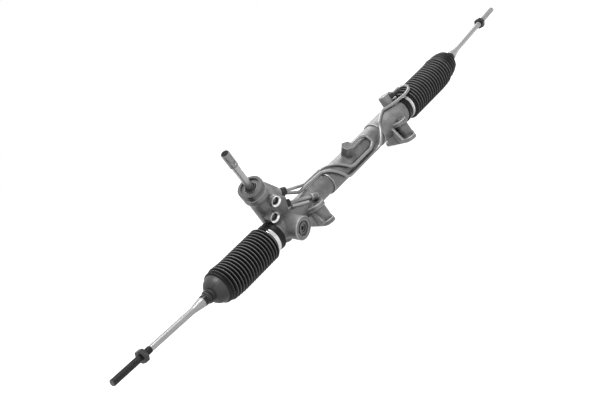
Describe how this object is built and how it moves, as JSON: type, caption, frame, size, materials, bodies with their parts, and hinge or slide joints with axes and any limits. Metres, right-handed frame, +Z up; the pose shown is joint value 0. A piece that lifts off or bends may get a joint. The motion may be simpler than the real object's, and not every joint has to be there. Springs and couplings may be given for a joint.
{
  "type": "hydraulic power steering rack",
  "caption": "Hydraulic power steering rack: bolts across a subframe on two feet, turns an input shaft into side-to-side travel of two tie rods behind rubber bellows.",
  "frame": {"origin": "centre of the two subframe bolts, on the plane of the mounting pads", "axes": "+X along the rack towards the cylinder end, +Z up off the pads, +Y from the bolts towards the rack"},
  "size_m": [1.3047, 0.12, 0.2239],
  "materials": {
    "cast_alloy": "satin",
    "tube_steel": "satin",
    "pipe_steel": "satin",
    "dark_steel": "satin",
    "plug_steel": "satin",
    "bright_steel": "polished",
    "shaft_steel": "satin",
    "yoke_alloy": "satin",
    "black_rubber": "matt",
    "black_clip": "satin",
    "seal_plastic": "satin",
    "seat_plastic": "satin",
    "bronze": "satin"
  },
  "bodies": {
    "housing": {"pinion_housing": "cast_alloy", "cylinder_tube": "tube_steel", "end_casting": "cast_alloy", "bolt_sleeve_near": "pipe_steel", "bolt_sleeve_far": "pipe_steel", "mid_port": "tube_steel", "inner_rack_seal": "black_rubber", "outer_rack_seal": "black_rubber", "rack_bushing": "bronze", "yoke": "yoke_alloy", "yoke_spring": "shaft_steel", "yoke_plug": "plug_steel", "lower_bearing": "bright_steel", "upper_bearing": "bright_steel", "bottom_cap": "plug_steel", "input_cap": "plug_steel", "input_seal": "black_rubber", "pipe_a": "pipe_steel", "pipe_b": "pipe_steel", "pipe_c": "pipe_steel", "pipe_nut_a": "dark_steel", "pipe_nut_b": "dark_steel", "pipe_nut_c": "dark_steel", "pipe_nut_end": "dark_steel", "bellows_near": "black_rubber", "bellows_far": "black_rubber", "band_clamp_near": "bright_steel", "band_clamp_far": "bright_steel"},
    "rack": {"rack_bar": "bright_steel", "piston": "bright_steel", "piston_ring": "seal_plastic", "socket_near": "shaft_steel", "socket_far": "shaft_steel", "ball_seat_near": "seat_plastic", "ball_seat_far": "seat_plastic", "lock_washer_near": "shaft_steel", "lock_washer_far": "shaft_steel"},
    "pinion_shaft": {"pinion": "shaft_steel", "valve_sleeve": "bright_steel", "sleeve_ring_1": "seal_plastic", "sleeve_ring_2": "seal_plastic", "sleeve_ring_3": "seal_plastic"},
    "input": {"input_shaft": "shaft_steel", "torsion_bar": "shaft_steel"},
    "near_ball": {"ball_near": "bright_steel"},
    "near_rod": {"tie_rod_near": "bright_steel", "rod_clip_near": "black_clip"},
    "near_nut": {"jam_nut_near": "dark_steel"},
    "far_ball": {"ball_far": "bright_steel"},
    "far_rod": {"tie_rod_far": "bright_steel", "rod_clip_far": "black_clip"},
    "far_nut": {"jam_nut_far": "dark_steel"}
  },
  "joints": [
    {"name": "rack_slide", "type": "slide", "parent": "housing", "child": "rack", "axis": [1, 0, 0], "range_m": [-0.0945, 0.0485], "deforming": ["bellows_near", "bellows_far"]},
    {"name": "pinion_turn", "type": "hinge", "parent": "housing", "child": "pinion_shaft", "pos_m": [-0.212, 0.04383, 0.05174], "axis": [-0.3584, -0.4093, 0.8391], "range_deg": [-760, 450]},
    {"name": "input_twist", "type": "hinge", "parent": "pinion_shaft", "child": "input", "pos_m": [-0.212, 0.04383, 0.05174], "axis": [-0.3584, -0.4093, 0.8391], "range_deg": [-4, 4], "stiffness_Nm_per_rad": 60},
    {"name": "near_ball_lift", "type": "hinge", "parent": "rack", "child": "near_ball", "pos_m": [-0.322, 0.03, 0.045], "axis": [0, 1, 0], "range_deg": [-24.3, 19.7]},
    {"name": "near_rod_swing", "type": "hinge", "parent": "near_ball", "child": "near_rod", "pos_m": [-0.322, 0.03, 0.045], "axis": [0, 0, 1], "range_deg": [-22, 22]},
    {"name": "near_nut_travel", "type": "slide", "parent": "near_rod", "child": "near_nut", "axis": [-0.9992, 0, 0.0401], "range_m": [-0.014, 0.03]},
    {"name": "far_ball_lift", "type": "hinge", "parent": "rack", "child": "far_ball", "pos_m": [0.319, 0.03, 0.045], "axis": [0, 1, 0], "range_deg": [-19.1, 24.9]},
    {"name": "far_rod_swing", "type": "hinge", "parent": "far_ball", "child": "far_rod", "pos_m": [0.319, 0.03, 0.045], "axis": [0, 0, 1], "range_deg": [-22, 22]},
    {"name": "far_nut_travel", "type": "slide", "parent": "far_rod", "child": "far_nut", "axis": [0.9987, 0, 0.0506], "range_m": [-0.014, 0.03]}
  ],
  "couplings": [
    {"joint": "pinion_turn", "follows": "rack_slide", "rad_per_m": 133.37}
  ]
}
